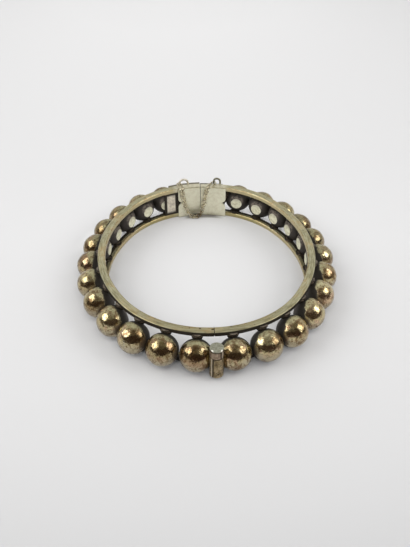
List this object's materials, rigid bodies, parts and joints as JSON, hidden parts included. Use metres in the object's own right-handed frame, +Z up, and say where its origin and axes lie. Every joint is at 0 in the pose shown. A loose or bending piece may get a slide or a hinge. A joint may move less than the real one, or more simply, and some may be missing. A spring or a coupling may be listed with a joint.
{
  "type": "beaded bangle",
  "caption": "Hinged oval bangle: a row of round gilt beads between flat rails, with a tongue clasp behind notched cover plates and a fine safety chain.",
  "frame": {"origin": "bottom centre of the bounding box, on the surface that the bangle lies on", "axes": "+Z up, +Y from the hinge to the clasp, +X towards the half with the lower knuckle"},
  "size_m": [0.0636, 0.071, 0.0109],
  "materials": {
    "rail_gilt": "worn satin gilding",
    "bead_gilt": "bronzed gilding with brown and coppery patches",
    "plate_metal": "pale satin silver gilt",
    "hinge_metal": "grey-green tarnished metal",
    "tongue_metal": "plain satin metal",
    "chain_metal": "pale silver gilt wire"
  },
  "bodies": {
    "root": {"left_frame": "rail_gilt", "right_frame": "rail_gilt", "hinge_pin": "hinge_metal", "clasp_tongue": "tongue_metal", "left_cover_plate": "plate_metal", "right_cover_plate": "plate_metal", "safety_chain": "chain_metal", "bead_l01": "bead_gilt", "bead_l02": "bead_gilt", "bead_l03": "bead_gilt", "bead_l04": "bead_gilt", "bead_l05": "bead_gilt", "bead_l06": "bead_gilt", "bead_l07": "bead_gilt", "bead_l08": "bead_gilt", "bead_l09": "bead_gilt", "bead_l10": "bead_gilt", "bead_l11": "bead_gilt", "bead_l12": "bead_gilt", "bead_r01": "bead_gilt", "bead_r02": "bead_gilt", "bead_r03": "bead_gilt", "bead_r04": "bead_gilt", "bead_r05": "bead_gilt", "bead_r06": "bead_gilt", "bead_r07": "bead_gilt", "bead_r08": "bead_gilt", "bead_r09": "bead_gilt", "bead_r10": "bead_gilt", "bead_r11": "bead_gilt", "bead_r12": "bead_gilt"}
  },
  "joints": []
}
